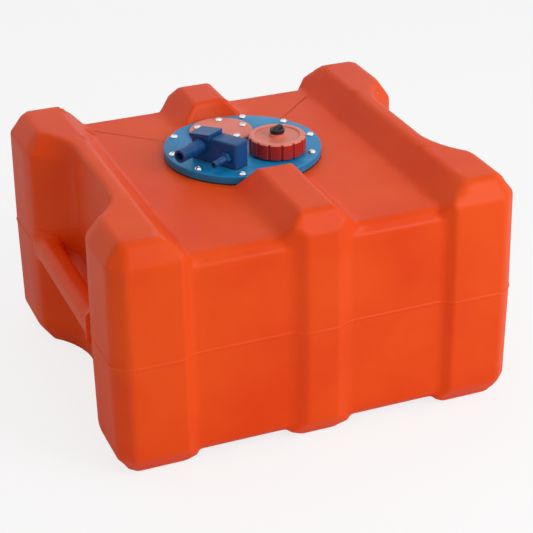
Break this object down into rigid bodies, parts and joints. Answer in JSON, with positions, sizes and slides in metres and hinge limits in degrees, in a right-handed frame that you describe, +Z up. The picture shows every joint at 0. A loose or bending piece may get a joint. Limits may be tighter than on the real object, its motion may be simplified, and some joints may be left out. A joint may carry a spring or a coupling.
{
  "type": "outboard fuel tank",
  "caption": "Portable fuel tank: moulded shell with two carrying bars and a deck flange holding a screw filler cap with vent screw, a blank sender cover and hose tails.",
  "frame": {"origin": "centre of the footprint, on the surface the tank stands on", "axes": "+X along the length towards the end on the filler cap's side, -Y towards the front face, +Z up"},
  "size_m": [0.503, 0.455, 0.3125],
  "materials": {
    "shell_plastic": "orange-red moulded polyethylene, semi-gloss",
    "flange_plastic": "blue glass-filled plastic, satin",
    "fitting_plastic": "dark blue moulded plastic, satin",
    "cover_plastic": "red moulded plastic, satin",
    "stainless": "bright stainless steel",
    "brass": "turned",
    "seal_rubber": "moulded, dull",
    "washer_rubber": "red moulded rubber, dull",
    "inner_plastic": "natural polyethylene"
  },
  "bodies": {
    "root": {"tank_shell": "shell_plastic", "flange_inserts": "brass", "flange_gasket": "seal_rubber", "flange_plate": "flange_plastic", "flange_screws": "stainless", "sender_bushes": "brass", "sender_gasket": "seal_rubber", "sender_cover": "cover_plastic", "sender_screws": "stainless", "filler_neck": "flange_plastic", "housing_pad": "seal_rubber", "fitting_housing": "fitting_plastic", "housing_lid": "fitting_plastic", "housing_screws": "stainless", "vent_hose_tail": "fitting_plastic", "vent_tail_oring": "seal_rubber", "fuel_hose_tail": "fitting_plastic", "fuel_tail_oring": "seal_rubber", "fuel_valve_spring": "stainless", "pickup_tube": "inner_plastic", "pickup_strainer": "inner_plastic", "vent_float_cage": "inner_plastic"},
    "cap_seal": {"cap_gasket": "seal_rubber"},
    "cap": {"filler_cap": "cover_plastic"},
    "vent_seal": {"vent_washer": "washer_rubber"},
    "vent_screw": {"vent_knob": "fitting_plastic"},
    "valve_ball": {"fuel_valve_ball": "stainless"},
    "float": {"vent_float": "inner_plastic"}
  },
  "joints": [
    {"name": "cap_lift", "type": "slide", "parent": "root", "child": "cap_seal", "axis": [0, 0, 1], "range_m": [0, 0.0181]},
    {"name": "cap_turn", "type": "hinge", "parent": "cap_seal", "child": "cap", "pos_m": [0.03412, -0.00317, 0.29], "axis": [0, 0, 1], "range_deg": [0, 720]},
    {"name": "vent_lift", "type": "slide", "parent": "cap", "child": "vent_seal", "axis": [0, 0, 1], "range_m": [0, 0.00205]},
    {"name": "vent_turn", "type": "hinge", "parent": "vent_seal", "child": "vent_screw", "pos_m": [0.03412, -0.00317, 0.302], "axis": [0, 0, 1], "range_deg": [0, 360]},
    {"name": "fuel_valve_lift", "type": "slide", "parent": "root", "child": "valve_ball", "axis": [0, 0, 1], "range_m": [0, 0.003], "stiffness_N_per_m": 20, "springref_m": -0.002, "deforming": ["fuel_valve_spring"]},
    {"name": "vent_float_lift", "type": "slide", "parent": "root", "child": "float", "axis": [0, 0, 1], "range_m": [0, 0.0085]}
  ],
  "couplings": [
    {"joint": "cap_lift", "follows": "cap_turn", "m_per_rad": 0.0014324},
    {"joint": "vent_lift", "follows": "vent_turn", "m_per_rad": 0.00031831}
  ]
}
